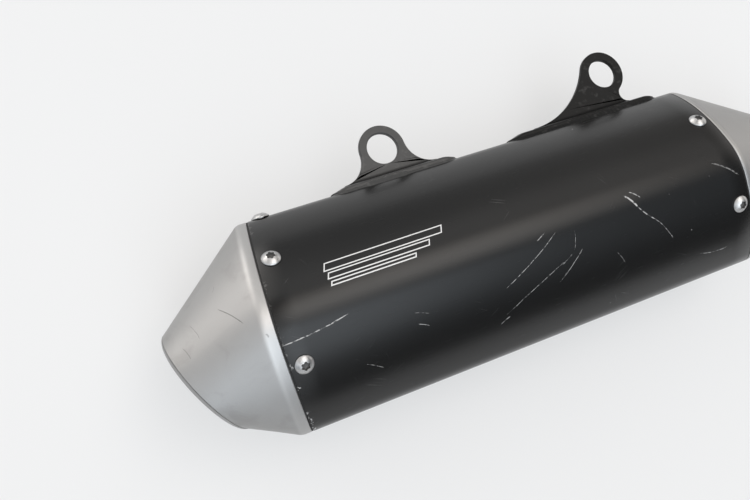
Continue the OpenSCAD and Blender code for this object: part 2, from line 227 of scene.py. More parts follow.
def quarter_angles(ridge_steps, flank_steps, end_steps):
    steps = [i * RIDGE_A / ridge_steps for i in range(ridge_steps)]
    steps += [RIDGE_A + i * (END_A - RIDGE_A) / flank_steps for i in range(flank_steps)]
    steps += [END_A + i * (math.pi / 2 - END_A) / end_steps for i in range(end_steps)]
    return steps


def all_angles():
    """Angles right round the oval, from the keel at -180 degrees to just short of +180."""
    up = quarter_angles(10, 26, 12)
    half = up + [math.pi / 2] + [math.pi - a for a in reversed(up[1:])]
    return [a - math.pi for a in half] + half


AROUND = all_angles()


def rear_x(y, z, at):
    return SLEEVE_BACK + at + y * math.tan(END_TURN) - z * math.tan(END_LEAN) / math.cos(END_TURN)


def front_x(y, z, at):
    return SLEEVE_FRONT + at - y * math.tan(END_TURN) - z * math.tan(END_LEAN) / math.cos(END_TURN)


def rear_rim(inset, at):
    return [Vector((rear_x(*oval(a, inset), at), *oval(a, inset))) for a in AROUND]


def front_rim(inset, at):
    return [Vector((front_x(*oval(a, inset), at), *oval(a, inset))) for a in AROUND]


def nose_rim(r, at):
    return [NOSE_AT + r * math.cos(a) * NOSE_UP + r * math.sin(a) * NOSE_SIDE + at * NOSE_OUT
            for a in AROUND]


def round_rim(r, x):
    return [Vector((x, r * math.sin(a), r * math.cos(a))) for a in AROUND]


# ---- building meshes ----

UNROLLED = "unrolled"


def finish_mesh(name, mesh_data, material, replaces, slot):
    """Turns a bmesh into a smooth piece with outward faces that rides on the one body."""
    bmesh.ops.recalc_face_normals(mesh_data, faces=mesh_data.faces)
    mesh = bpy.data.meshes.new(name)
    mesh_data.to_mesh(mesh)
    mesh_data.free()
    for face in mesh.polygons:
        face.use_smooth = True
    piece = bpy.data.objects.new(name, mesh)
    bpy.context.scene.collection.objects.link(piece)
    mesh.materials.append(material)
    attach(piece, "root")
    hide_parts(*replaces)
    return piece


def lay_rims(mesh_data, rims, closed, uv=None):
    """Quads between rims of equally many points. closed also joins the last rim to the first."""
    rows = [[mesh_data.verts.new(p) for p in rim] for rim in rims]
    count = len(rows[0])
    layer = mesh_data.loops.layers.uv.new(UNROLLED) if uv else None
    for k in range(len(rows) if closed else len(rows) - 1):
        near, far = rows[k], rows[(k + 1) % len(rows)]
        for i in range(count):
            j = (i + 1) % count
            face = mesh_data.faces.new((near[i], near[j], far[j], far[i]))
            if uv:
                corners = ((k, i), (k, i + 1), (k + 1, i + 1), (k + 1, i))
                for loop, corner in zip(face.loops, corners):
                    loop[layer].uv = uv(*corner)
    return rows


def tube_piece(name, rims, material, **facts):
    """A closed tube whose wall's section runs through the rims and back to the first."""
    mesh_data = bmesh.new()
    lay_rims(mesh_data, rims, closed=True)
    return finish_mesh(name, mesh_data, material, **facts)


def sharpen(piece, degrees=35):
    """Keeps edges sharper than this from being shaded smooth."""
    piece.data.set_sharp_from_angle(angle=math.radians(degrees))
    return piece


# ---- node helpers ----


class Nodes:
    """A node tree, with short calls for the nodes used here."""

    def __init__(self, tree):
        self.tree = tree

    def node(self, kind, **settings):
        made = self.tree.nodes.new(kind)
        for key, value in settings.items():
            setattr(made, key, value)
        return made

    def feed(self, socket, value):
        if isinstance(value, bpy.types.NodeSocket):
            self.tree.links.new(value, socket)
        else:
            socket.default_value = value

    def math(self, operation, a, b=0.0, c=0.0, clamp=False):
        made = self.node("ShaderNodeMath", operation=operation, use_clamp=clamp)
        for socket, value in zip(made.inputs, (a, b, c)):
            self.feed(socket, value)
        return made.outputs[0]

    def times(self, first, *rest):
        for value in rest:
            first = self.math("MULTIPLY", first, value)
        return first

    def most(self, first, *rest):
        for value in rest:
            first = self.math("MAXIMUM", first, value)
        return first

    def minus(self, a, b):
        return self.math("SUBTRACT", a, b)

    def scaled(self, value, scale, base):
        return self.math("MULTIPLY_ADD", value, scale, base)

    def dot(self, place, direction):
        made = self.node("ShaderNodeVectorMath", operation="DOT_PRODUCT")
        self.feed(made.inputs[0], place)
        self.feed(made.inputs[1], direction)
        return made.outputs["Value"]

    def scaled_vector(self, value, scale, base):
        made = self.node("ShaderNodeVectorMath", operation="MULTIPLY_ADD")
        for socket, given in zip(made.inputs, (value, scale, base)):
            self.feed(socket, given)
        return made.outputs["Vector"]

    def split(self, place):
        """The X, Y and Z of a place."""
        made = self.node("ShaderNodeSeparateXYZ")
        self.feed(made.inputs[0], place)
        return made.outputs

    def ease(self, value, low, high, to_low=0.0, to_high=1.0):
        """A smooth step from to_low at low to to_high at high."""
        made = self.node("ShaderNodeMapRange", interpolation_type="SMOOTHSTEP")
        for socket, given in zip(made.inputs, (value, low, high, to_low, to_high)):
            self.feed(socket, given)
        return made.outputs[0]


class Paint(Nodes):
    """A material, whose nodes end in its shader."""

    def __init__(self, name):
        self.material = bpy.data.materials.new(name)
        self.material.use_nodes = True
        super().__init__(self.material.node_tree)
        self.shader = self.tree.nodes["Principled BSDF"]

    def set(self, **values):
        """Sets sockets of the shader by name, with _ for a space."""
        for key, value in values.items():
            self.feed(self.shader.inputs[key.replace("_", " ")], value)

    def place(self):
        return self.node("ShaderNodeTexCoord").outputs["Object"]

    def uv(self):
        """The sleeve's face unrolled: X, and the length round the oval from the upper ridge."""
        return self.node("ShaderNodeUVMap", uv_map=UNROLLED).outputs["UV"]

    def stretch(self, place, scale, turn=(0, 0, 0)):
        made = self.node("ShaderNodeMapping")
        self.feed(made.inputs["Vector"], place)
        made.inputs["Scale"].default_value = scale
        made.inputs["Rotation"].default_value = turn
        return made.outputs[0]

    def noise(self, place, scale, detail=2.0, rough=0.5, warp=0.0, output="Fac"):
        made = self.node("ShaderNodeTexNoise")
        self.feed(made.inputs["Vector"], place)
        made.inputs["Scale"].default_value = scale
        made.inputs["Detail"].default_value = detail
        made.inputs["Roughness"].default_value = rough
        made.inputs["Distortion"].default_value = warp
        return made.outputs[output]

    def blend(self, factor, a, b):
        """Colour a where factor is 0 and b where it is 1."""
        made = self.node("ShaderNodeMix", data_type="RGBA")
        for socket, value in zip((made.inputs[0], made.inputs[6], made.inputs[7]), (factor, a, b)):
            self.feed(socket, value)
        return made.outputs[2]

    def bump(self, height, depth, before=None):
        made = self.node("ShaderNodeBump")
        made.inputs["Strength"].default_value = 1.0
        made.inputs["Distance"].default_value = depth
        self.feed(made.inputs["Height"], height)
        if before is not None:
            self.feed(made.inputs["Normal"], before)
        return made.outputs[0]


def grey(value, warm=0.0):
    """A linear grey, a little warm or, below zero, a little cool."""
    return (value * (1 + warm), value, value * (1 - warm), 1.0)


# ---- where things are on a surface ----


def past_plane(paint, place, turn, at):
    """How far in X a place lies past the leaning plane of one end, which cuts the axis at this X."""
    slope = (1.0, turn, math.tan(END_LEAN) / math.cos(END_TURN))
    return paint.minus(paint.dot(place, slope), at)


def past_rear_end(paint, place, at):
    return past_plane(paint, place, -math.tan(END_TURN), SLEEVE_BACK + at)


def past_front_end(paint, place, at):
    return past_plane(paint, place, math.tan(END_TURN), SLEEVE_FRONT + at)


def collars(paint, place):
    """1 on the straight bands of both caps, next to the sleeve, where the steel gets a painted highlight
    and a little less roughness.
    """
    rear_band = paint.ease(past_rear_end(paint, place, -REAR_COLLAR), -1.6 * MM, 0.6 * MM)
    front_band = paint.ease(past_front_end(paint, place, FRONT_COLLAR), -0.6 * MM, 1.2 * MM, 1.0, 0.0)
    halfway = (SLEEVE_BACK + SLEEVE_FRONT) / 2
    ahead = paint.math("GREATER_THAN", paint.split(place)[0], halfway)
    behind = paint.minus(1.0, ahead)
    return paint.math("ADD", paint.times(rear_band, behind), paint.times(front_band, ahead))


def low_side(paint, place):
    """0 on the hangers' side of the sleeve and 1 low down on the other side."""
    start, full = -8 * MM, -24 * MM
    return paint.ease(paint.split(place)[1], full, start, 1.0, 0.0)


def tab_crease(paint, place):
    """1 in the corner between a tab's foot and its pad, where shade is painted."""
    pad_face = HALF_W + PAD_T
    _, y, z = paint.split(place)
    beside = paint.ease(paint.math("ABSOLUTE", z), 2.6 * MM, 4.6 * MM, 1.0, 0.0)
    low = paint.ease(y, pad_face + 0.6 * MM, pad_face + 2.4 * MM, 1.0, 0.0)
    return paint.times(beside, low)


# ---- scratches and marks ----

# every scratch: both ends in the plane that it is drawn in, sideways bow, half width, strength, all
# but the strength in millimetres. The sleeve's are drawn on its unrolled face, as X and the length
# round from the ridge, and the rear cone's as seen from above, as X and Y.
SLEEVE_SCRATCHES = [
    (-402, -14.5, -365, -10, -1.0, 0.32, 1.0),
    (-239, -6, -275, -27, 0.8, 0.20, 0.8),
    (-231, -21, -238, -25, 0.2, 0.22, 0.7),
    (-237, -24, -276, -43, -0.6, 0.18, 0.7),
    (-224, -20, -241, -35, 0.5, 0.20, 0.75),
    (-251, -7, -245, -4, 0.0, 0.25, 0.8),
    (-227, -8, -229, -19, 0.4, 0.16, 0.6),
    (-190, 1, -183, -8, 0.5, 0.55, 1.0),
    (-183, -8, -173, -18, -0.5, 0.30, 0.9),
    (-173, -18, -161, -34, 0.7, 0.22, 0.7),
    (-186, 2, -180, -3, 0.4, 0.30, 0.8),
    (-125, 2, -109, -10, 0.9, 0.45, 0.4),
    (-139, -52, -118, -55, -1.2, 0.20, 0.8),
    (-280, -48, -274, -45, 0.2, 0.25, 0.8),
    (-329, -29, -323, -32, 0.3, 0.22, 0.7),
    (-361, -41, -352, -47, 0.3, 0.22, 0.5),
    (-330, -22, -322, -25, 0.2, 0.16, 0.4),
    (-201, -30, -196, -38, 0.3, 0.16, 0.4),
]
CONE_SCRATCHES = [
    (-424, 15, -416, 3, 0.4, 0.20, 0.90),
    (-439, 13, -437, 4, 0.5, 0.17, 0.50),
    (-421, 28, -423, 25, 0.1, 0.15, 0.40),
    (-446, 3, -444, -4, 0.3, 0.25, 0.45),
    (-408, -6, -407, -8, 0.3, 0.50, 0.60),
]
SCRATCH_DEPTH = 10 * MM

# the outlined stripes of the plain graphic: middle in X and round from the ridge, half length, half
# width, all in millimetres
STRIPES = [(-334, 17.0, 34, 2.2), (-339, 11.5, 29, 1.6), (-344, 7.0, 24, 1.0)]
STRIPE_SLANT = 0.45
STRIPE_LINE = 0.32 * MM


def scratch_mask(paint, place, x0, y0, x1, y1, bow, half, strength):
    """1 along one scratch, on what lies above its plane, fading out sideways and at its tips."""
    placed = paint.node("ShaderNodeMapping", vector_type="TEXTURE")
    paint.feed(placed.inputs["Vector"], place)
    placed.inputs["Location"].default_value = (x0 * MM, y0 * MM, 0)
    placed.inputs["Rotation"].default_value = (0, 0, math.atan2(y1 - y0, x1 - x0))
    placed.inputs["Scale"].default_value = (math.hypot(x1 - x0, y1 - y0) * MM, half * MM, 1)
    t, off, depth = paint.split(placed.outputs[0])
    hump = paint.times(t, paint.minus(1.0, t))
    off = paint.math("ABSOLUTE", paint.scaled(hump, -4 * bow / half, off))
    width = paint.scaled(paint.math("MULTIPLY", hump, 9.0, clamp=True), 0.9, 0.3)
    across = paint.ease(off, paint.times(width, 0.45), width, 1.0, 0.0)
    between = paint.math("GREATER_THAN", hump, 0.0)
    above = paint.math("GREATER_THAN", depth, -SCRATCH_DEPTH)
    return paint.times(across, paint.times(between, above), strength)


def shaken(paint, place, reach):
    """The same place moved about a little, so that straight lines come out ragged."""
    return paint.scaled_vector(paint.noise(place, 190, output="Color"), (reach, reach, reach), place)


def all_scratches(paint, place, scratches):
    return paint.most(0.0, *[scratch_mask(paint, place, *scratch) for scratch in scratches])


def deep_scratches(paint, unrolled):
    """The deep scratches of the sleeve, made ragged and broken up along their length."""
    total = all_scratches(paint, shaken(paint, unrolled, 0.6 * MM), SLEEVE_SCRATCHES)
    ragged = paint.noise(unrolled, 420, detail=3)
    return paint.times(total, paint.ease(ragged, 0.43, 0.54, 0.08, 1.0))


def hairlines(paint, unrolled):
    """Faint random hairlines in a few directions, in patches."""
    total = 0.0
    for turn, low in ((0.5, 0.70), (-0.6, 0.71), (1.2, 0.715)):
        spun = paint.stretch(unrolled, (1, 1, 1), (0, 0, turn))
        lines = paint.noise(paint.stretch(spun, (40, 1400, 1)), 1.0, detail=1)
        total = paint.most(total, paint.ease(lines, low, low + 0.05))
    patches = paint.ease(paint.noise(unrolled, 24), 0.54, 0.70)
    return paint.times(total, patches)


def specks(paint, unrolled):
    """Small pale nicks, in patches."""
    dots = paint.node("ShaderNodeTexVoronoi", feature="F1")
    paint.feed(dots.inputs["Vector"], unrolled)
    dots.inputs["Scale"].default_value = 230
    near = paint.ease(dots.outputs["Distance"], 0.05, 0.13, 1.0, 0.0)
    few = paint.math("GREATER_THAN", paint.split(dots.outputs["Color"])[0], 0.985)
    patches = paint.ease(paint.noise(unrolled, 30), 0.44, 0.62)
    return paint.times(near, few, patches)


def edge_chips(paint, place):
    """Clusters of bright chips along the sleeve's rear edge, mostly low down."""
    reach = paint.ease(past_rear_end(paint, place, 0.0), 0.0, 5.0 * MM, 0.50, 0.90)
    broken = paint.ease(paint.minus(paint.noise(place, 620, detail=3), reach), 0.0, 0.035)
    clusters = paint.ease(paint.noise(place, 90), 0.42, 0.56)
    return paint.times(broken, clusters, paint.most(low_side(paint, place), 0.10))


def stripe_lines(paint, unrolled):
    """1 on the outline of each slanted stripe."""
    x, s, _ = paint.split(unrolled)
    total = 0.0
    for mid_x, mid_s, half_x, half_s in STRIPES:
        up = paint.minus(s, mid_s * MM)
        over = paint.scaled(up, -STRIPE_SLANT, paint.minus(x, mid_x * MM))
        out_x = paint.minus(paint.math("ABSOLUTE", over), half_x * MM)
        out_s = paint.minus(paint.math("ABSOLUTE", up), half_s * MM)
        edge = paint.math("ABSOLUTE", paint.most(out_x, out_s))
        total = paint.most(total, paint.ease(edge, STRIPE_LINE * 0.8, STRIPE_LINE * 1.25, 1.0, 0.0))
    return total


# ---- materials ----


def blasted_steel():
    """Bead-blasted stainless: fine grain, cloudy tone, faint stains, and collars that are a little
    smoother and painted lighter as a painted highlight.
    """
    paint = Paint("blasted_steel")
    place = paint.place()
    cloud = paint.noise(place, 24, detail=3, warp=0.5)
    blotch = paint.ease(paint.noise(place, 46, detail=5, rough=0.62, warp=1.0), 0.50, 0.70)
    grain = paint.noise(place, 1900)
    fleck = paint.ease(paint.noise(place, 520), 0.66, 0.74)
    band = collars(paint, place)
    streak = all_scratches(paint, shaken(paint, place, 0.5 * MM), CONE_SCRATCHES)
    tone = paint.blend(cloud, grey(0.32, 0.014), grey(0.40, 0.004))
    tone = paint.blend(paint.times(blotch, 0.28), tone, grey(0.24, 0.03))
    # painted highlight: the collars' bands lighter than the rest of the steel
    tone = paint.blend(paint.times(band, 0.60), tone, grey(0.46, 0.008))
    tone = paint.blend(paint.times(fleck, 0.10), tone, grey(0.24))
    tone = paint.blend(paint.times(streak, 0.75), tone, grey(0.10, 0.03))
    rough = paint.scaled(cloud, 0.10, 0.44)
    rough = paint.scaled(band, -0.06, paint.scaled(grain, 0.05, rough))
    dent = paint.bump(paint.minus(0.0, streak), 0.06 * MM)
    paint.set(Base_Color=tone, Metallic=1.0, Roughness=rough, Normal=paint.bump(grain, 0.04 * MM, dent))
    return paint.material


def black_anodised():
    """Satin black anodising: fine grain, scuffs down to the bare aluminium, and a plain graphic."""
    paint = Paint("anodised_sleeve")
    place = paint.place()
    unrolled = paint.uv()
    cloud = paint.noise(place, 14, detail=3, warp=0.4)
    grain = paint.noise(paint.stretch(place, (0.06, 1, 1)), 1400)
    fine = paint.times(hairlines(paint, unrolled), 0.12)
    nicks = paint.most(specks(paint, unrolled), edge_chips(paint, place))
    bare = paint.most(deep_scratches(paint, unrolled), fine, nicks)
    printed = stripe_lines(paint, unrolled)
    tone = paint.blend(cloud, grey(0.004), grey(0.007))
    tone = paint.blend(printed, tone, grey(0.62))
    tone = paint.blend(bare, tone, grey(0.42, 0.01))
    rough = paint.scaled(grain, 0.06, 0.23)
    rough = paint.scaled(printed, 0.1, paint.scaled(bare, 0.15, rough))
    dent = paint.bump(paint.minus(0.0, bare), 0.08 * MM)
    paint.set(Base_Color=tone, Roughness=rough, Normal=paint.bump(grain, 0.015 * MM, dent))
    paint.set(Metallic=0.0, Specular_IOR_Level=0.35)
    return paint.material


def black_hanger(name, value, gloss):
    """Satin black on a hanger, a little worn and dusty, with painted shade in the corner under its tab.
    """
    paint = Paint(name)
    place = paint.place()
    grain = paint.noise(place, 900, detail=3)
    cloud = paint.noise(place, 60, detail=4)
    dust = paint.ease(paint.noise(place, 300, detail=4), 0.55, 0.75)
    crease = tab_crease(paint, place)
    tone = paint.blend(cloud, grey(value * 0.8), grey(value * 1.2))
    tone = paint.blend(paint.times(dust, 0.12), tone, grey(0.20, 0.02))
    # painted shade: the corner under the tab near black and rougher
    tone = paint.blend(crease, tone, grey(0.003))
    rough = paint.scaled(crease, 0.35, paint.scaled(grain, 0.12, 0.36))
    paint.set(Base_Color=tone, Roughness=rough, Normal=paint.bump(grain, 0.04 * MM))
    paint.set(Specular_IOR_Level=gloss)
    return paint.material


def screw_finish():
    paint = Paint("screw_steel")
    place = paint.place()
    grain = paint.noise(place, 1500, detail=3)
    cloud = paint.noise(place, 420, detail=4)
    dirt = paint.ease(paint.noise(place, 700, detail=3), 0.54, 0.66)
    tone = paint.blend(cloud, grey(0.38), grey(0.56))
    tone = paint.blend(paint.times(dirt, 0.45), tone, grey(0.26, 0.02))
    paint.set(Base_Color=tone, Metallic=1.0, Roughness=paint.scaled(cloud, 0.18, 0.27))
    paint.set(Normal=paint.bump(grain, 0.04 * MM))
    return paint.material


# painted shade: dark tones on the floor and walls of each screw's drive recess
def drive_shade():
    paint = Paint("drive_shade")
    grain = paint.noise(paint.place(), 900, detail=3)
    tone = paint.blend(grain, grey(0.05), grey(0.16, 0.02))
    paint.set(Base_Color=tone, Metallic=0.6, Roughness=paint.scaled(grain, 0.3, 0.5))
    paint.set(Normal=paint.bump(grain, 0.08 * MM))
    return paint.material


def plain_metal(name, value, rough, warm=0.0):
    paint = Paint(name)
    grain = paint.noise(paint.place(), 700, detail=3)
    tone = paint.blend(grain, grey(value * 0.8, warm), grey(value * 1.15, warm))
    paint.set(Base_Color=tone, Metallic=1.0, Roughness=paint.scaled(grain, 0.2, rough))
    paint.set(Normal=paint.bump(grain, 0.03 * MM))
    return paint.material


STEEL = blasted_steel()
SLEEVE_BLACK = black_anodised()
# one satin black as lit and shaded copies: the rear hanger's lighter and glossier, the front hanger's
# darker and duller, as painted light and shade
HANGER_FINISH = {"rear": black_hanger("rear_hanger_lit_black", 0.034, 0.4),
                 "front": black_hanger("front_hanger_shaded_black", 0.005, 0.16)}
SCREW_STEEL = screw_finish()
DRIVE_SHADE = drive_shade()
INNER_STEEL = plain_metal("inner_steel", 0.35, 0.35, 0.03)
PIPE_STEEL = plain_metal("pipe_steel", 0.5, 0.25, 0.04)
WELD_STEEL = plain_metal("weld_steel", 0.4, 0.3, 0.05)
GASKET = plain_metal("gasket", 0.05, 0.6)
WOOL = plain_metal("steel_wool", 0.2, 0.5)
PACKING = plain_metal("packing", 0.6, 0.8, 0.1)

# ---- pieces ----


def sleeve():
    """The extruded sleeve: an oval tube with leaning ends and slightly broken edges."""
    edge = 0.35 * MM
    spans = 24
    profile = [(edge, 0, 0.0), (edge * 0.3, 0, edge * 0.3)]
    profile += [(0.0, i / spans, edge * (1 - 2 * i / spans)) for i in range(spans + 1)]
    profile += [(edge * 0.3, 1, -edge * 0.3), (edge, 1, 0.0)]
    profile += [(SLEEVE_WALL - edge, 1, 0.0), (SLEEVE_WALL, 1, -edge)]
    profile += [(SLEEVE_WALL, 0, edge), (SLEEVE_WALL - edge, 0, 0.0)]

    def rim(inset, t, at):
        made = []
        for a in AROUND:
            y, z = oval(a, inset)
            made.append(Vector(((1 - t) * rear_x(y, z, at) + t * front_x(y, z, at), y, z)))
        return made

    arcs = [arc_at(a) for a in AROUND] + [arc_at(math.pi)]
    rims = [rim(*row) for row in profile]

    def uv(k, i):
        return rims[k % len(rims)][i % len(AROUND)].x, arcs[i]

    mesh_data = bmesh.new()
    lay_rims(mesh_data, rims, closed=True, uv=uv)
    piece = finish_mesh("sleeve_shell", mesh_data, SLEEVE_BLACK, replaces=["sleeve"],
                        slot="anodised_sleeve")
    return sharpen(piece)


def rounded_rims(corners, radii, steps=6):
    """Rims through the corner rims, each inner corner rounded over its radius on both sides."""
    rims = [corners[0]]
    for k in range(1, len(corners) - 1):
        before, here, after = corners[k - 1], corners[k], corners[k + 1]
        for step in range(steps + 1):
            t = step / steps
            rim = []
            for p, q, r in zip(before, here, after):
                start = q + (p - q).normalized() * min(radii[k - 1], (p - q).length * 0.49)
                stop = q + (r - q).normalized() * min(radii[k - 1], (r - q).length * 0.49)
                rim.append(start * (1 - t) ** 2 + q * 2 * t * (1 - t) + stop * t * t)
            rims.append(rim)
    rims.append(corners[-1])
    return rims


def along(rim_a, rim_b, t):
    return [p.lerp(q, t) for p, q in zip(rim_a, rim_b)]


def spread(rims, longest=6 * MM):
    """Adds rims where two neighbours are far apart, so that long cones shade smoothly."""
    made = [rims[0]]
    for near, far in zip(rims, rims[1:]):
        gap = max((q - p).length for p, q in zip(near, far))
        count = max(1, round(gap / longest))
        made += [along(near, far, i / count) for i in range(1, count + 1)]
    return made


def rear_cap():
    edge = 0.3 * MM
    outer = rounded_rims([
        rear_rim(edge, -GASKET_T), rear_rim(0, -GASKET_T - edge), rear_rim(0, -REAR_COLLAR),
        nose_rim(SEAM_R, SEAM_AT - edge), nose_rim(SEAM_R - edge, SEAM_AT)],
        [0.2 * MM, 2.4 * MM, 0.2 * MM])
    inner = rounded_rims([
        nose_rim(SEAM_R - CAP_WALL, SEAM_AT), rear_rim(CAP_WALL, -REAR_COLLAR),
        rear_rim(CAP_WALL, -GASKET_T)], [4 * MM])
    piece = tube_piece("rear_cap_shell", spread(outer) + spread(inner), STEEL, replaces=["rear_cap"],
                       slot="blasted_steel")
    return sharpen(piece, 50)


def front_cap():
    edge = 0.3 * MM
    cone_end = SLEEVE_FRONT + CONE_LEN
    outer = rounded_rims([
        front_rim(edge, GASKET_T), front_rim(0, GASKET_T + edge), front_rim(0, FRONT_COLLAR),
        round_rim(INLET_R + CAP_WALL, cone_end)], [0.2 * MM, 3 * MM])
    inner = rounded_rims([
        round_rim(INLET_R, cone_end), round_rim(INLET_R, cone_end - 2 * MM),
        front_rim(CAP_WALL, FRONT_COLLAR), front_rim(CAP_WALL, GASKET_T)], [0.5 * MM, 2 * MM])
    piece = tube_piece("front_cap_shell", spread(outer) + spread(inner), STEEL,
                       replaces=["front_cap"], slot="blasted_steel")
    return sharpen(piece, 50)


def axes_matrix(x_axis, y_axis, z_axis, origin):
    """The place whose own axes are these."""
    made = Matrix.Identity(4)
    for column, axis in enumerate((x_axis, y_axis, z_axis, origin)):
        for row in range(3):
            made[row][column] = axis[row]
    return made


NOSE_PLACE = axes_matrix(NOSE_UP, NOSE_SIDE, NOSE_OUT, NOSE_AT)


def in_outlet(r, turn, height):
    """The point at this radius, turn and height on the outlet's axis, out of the mouth."""
    return NOSE_PLACE @ Vector((r * math.cos(turn), r * math.sin(turn), height))


def outlet_lip():
    """The rolled lip, from the seam with the cap over the crest and back to the outlet tube."""
    groove = 0.12 * MM
    roll = ROLL_R - 0.02 * MM
    steps, sides = 18, 128
    start = SEAM_A + groove / ROLL_R
    stop = math.acos((OUTLET_R - NOSE_R + ROLL_R) / roll)
    profile = [(SEAM_R - 2 * groove, SEAM_AT)]
    for i in range(steps + 1):
        t = start + i / steps * (stop - start)
        profile.append((NOSE_R - ROLL_R + roll * math.cos(t), roll * math.sin(t)))
    profile.append((OUTLET_R, SEAM_AT))
    rims = [[in_outlet(r, i * 2 * math.pi / sides, h) for i in range(sides)] for r, h in profile]
    piece = tube_piece("outlet_lip_roll", rims, STEEL, replaces=["outlet_lip"], slot="blasted_steel")
    return sharpen(piece, 50)


def screw_place(angle, rear):
    """The place on the sleeve's face of the screw at this angle, its +Z outwards."""
    a = math.radians(angle)
    y, z = oval(a)
    x = rear_x(y, z, SCREW_INSET) if rear else front_x(y, z, -SCREW_INSET)
    normal = Vector((0, math.sin(a), math.cos(a)))
    side = normal.cross(Vector((1, 0, 0)))
    return axes_matrix(Vector((1, 0, 0)), side, normal, Vector((x, y, z)))


def screw_rims(place, turn):
    """Rims of a button-head screw with a six-lobed drive, from the drive's floor to the shank's tip."""
    count = 72
    rim_h = 0.5 * MM
    dome_drop = HEAD_H - rim_h
    dome_r = (dome_drop ** 2 + HEAD_R ** 2) / (2 * dome_drop)
    drive_r, lobe, drive_depth, chamfer = 2.1 * MM, 0.3 * MM, 1.7 * MM, 0.25 * MM

    def dome(r):
        return HEAD_H - dome_r + math.sqrt(dome_r ** 2 - r ** 2)

    rows = [(0.4 * MM, 0.0, HEAD_H - drive_depth - 0.3 * MM)]
    rows += [(drive_r - 0.15 * MM, 1.0, HEAD_H - drive_depth), (drive_r, 1.0, HEAD_H - chamfer * 2.2)]
    rows += [(drive_r + chamfer * 0.5, 0.9, HEAD_H - chamfer * 1.2)]
    rows += [(drive_r + chamfer + i * (HEAD_R * 0.97 - drive_r - chamfer) / 9, max(0.0, 0.5 - i), None)
             for i in range(10)]
    rows += [(HEAD_R * 0.995, 0.0, 0.42 * MM), (HEAD_R, 0.0, 0.25 * MM), (HEAD_R * 0.99, 0.0, 0.06 * MM)]
    rows += [(HEAD_R * 0.95, 0.0, 0.0), (SHANK_R, 0.0, 0.0), (SHANK_R, 0.0, -SHANK_LEN + 0.5 * MM)]
    rows += [(SHANK_R - 0.5 * MM, 0.0, -SHANK_LEN)]
    rims = []
    for r, lobes, height in rows:
        rim = []
        for i in range(count):
            a = 2 * math.pi * i / count
            reach = r + lobes * lobe * math.cos(6 * a + turn)
            level = dome(reach) if height is None else height
            rim.append(place @ Vector((reach * math.cos(a), reach * math.sin(a), level)))
        rims.append(rim)
    return rims


def screws(name, node, angles, rear):
    """All the screws of one cap, with painted shade in their drives as a second material."""
    drive_rims = 3
    mesh_data = bmesh.new()
    for angle in angles:
        rows = lay_rims(mesh_data, screw_rims(screw_place(angle, rear), random.uniform(0, 6)), False)
        mesh_data.faces.new(rows[0])
        mesh_data.faces.new(rows[-1])
        for vert in [v for row in rows[:drive_rims] for v in row]:
            for face in vert.link_faces:
                face.material_index = 1
    piece = finish_mesh(name, mesh_data, SCREW_STEEL, replaces=[node], slot="screw_steel")
    piece.data.materials.append(DRIVE_SHADE)
    return sharpen(piece, 40)


def tab_outline(hanger, steps=28):
    """The tab's outline in X and Y: down the rear fillet, round the eye, and down the front one."""
    foot_y = HALF_W + PAD_T + 0.6 * MM
    base_y = HALF_W + 1.0 * MM
    hole = hanger.hole
    rise = hole.y - foot_y
    turns = []
    for r in hanger.fillets:
        reach = math.sqrt((hanger.eye_r + r) ** 2 - (rise - r) ** 2)
        turns.append((r, reach, math.atan2(rise - r, reach)))
    (rear_r, rear_reach, rear_meet), (front_r, front_reach, front_meet) = turns
    points = [(-rear_reach, base_y)]
    for i in range(steps + 1):
        a = -math.pi / 2 + i / steps * (math.pi / 2 + rear_meet)
        points.append((-rear_reach + rear_r * math.cos(a), foot_y + rear_r + rear_r * math.sin(a)))
    start = math.pi + rear_meet
    stop = -front_meet
    for i in range(1, 2 * steps):
        a = start + i / (2 * steps) * (stop - start)
        points.append((hanger.eye_r * math.cos(a), hole.y + hanger.eye_r * math.sin(a)))
    for i in range(steps + 1):
        a = math.pi - front_meet + i / steps * (math.pi / 2 + front_meet)
        points.append((front_reach + front_r * math.cos(a), foot_y + front_r + front_r * math.sin(a)))
    points.append((front_reach, base_y))
    return [(hole.x + x, y) for x, y in points]


def tab(hanger):
    hole = hanger.hole
    mesh_data = bmesh.new()
    outline = [mesh_data.verts.new((x, y, 0)) for x, y in tab_outline(hanger)]
    ring = [2 * math.pi * i / 64 for i in range(64)]
    inner = [mesh_data.verts.new((hole.x + TAB_HOLE_R * math.cos(a),
                                  hole.y + TAB_HOLE_R * math.sin(a), 0)) for a in ring]
    edges = []
    for loop in (outline, inner):
        edges += [mesh_data.edges.new((loop[i], loop[(i + 1) % len(loop)])) for i in range(len(loop))]
    bmesh.ops.triangle_fill(mesh_data, use_beauty=True, use_dissolve=False, edges=edges)
    grown = bmesh.ops.extrude_face_region(mesh_data, geom=list(mesh_data.faces))
    bmesh.ops.translate(mesh_data, vec=(0, 0, TAB_T / 2),
                        verts=[v for v in grown["geom"] if isinstance(v, bmesh.types.BMVert)])
    for vert in mesh_data.verts:
        if vert.co.z < TAB_T / 4:
            vert.co.z = -TAB_T / 2
    piece = finish_mesh(hanger.name + "_hanger_plate", mesh_data,
                        HANGER_FINISH[hanger.name],
                        replaces=[hanger.name + "_hanger_tab"], slot="anodised_hanger")
    bevel = piece.modifiers.new("soft_edges", "BEVEL")
    bevel.width = 0.6 * MM
    bevel.segments = 3
    bevel.limit_method = "ANGLE"
    bevel.angle_limit = math.radians(50)
    bevel.harden_normals = True
    return sharpen(piece, 40)


def on_side(x, z, rise):
    """The point of the +Y side at this X and Z, so far above the sleeve's face."""
    low, high = 0.0, math.pi
    for _ in range(40):
        a = (low + high) / 2
        if oval(a, -rise)[1] > z:
            low = a
        else:
            high = a
    return Vector((x, *oval(low, -rise)))


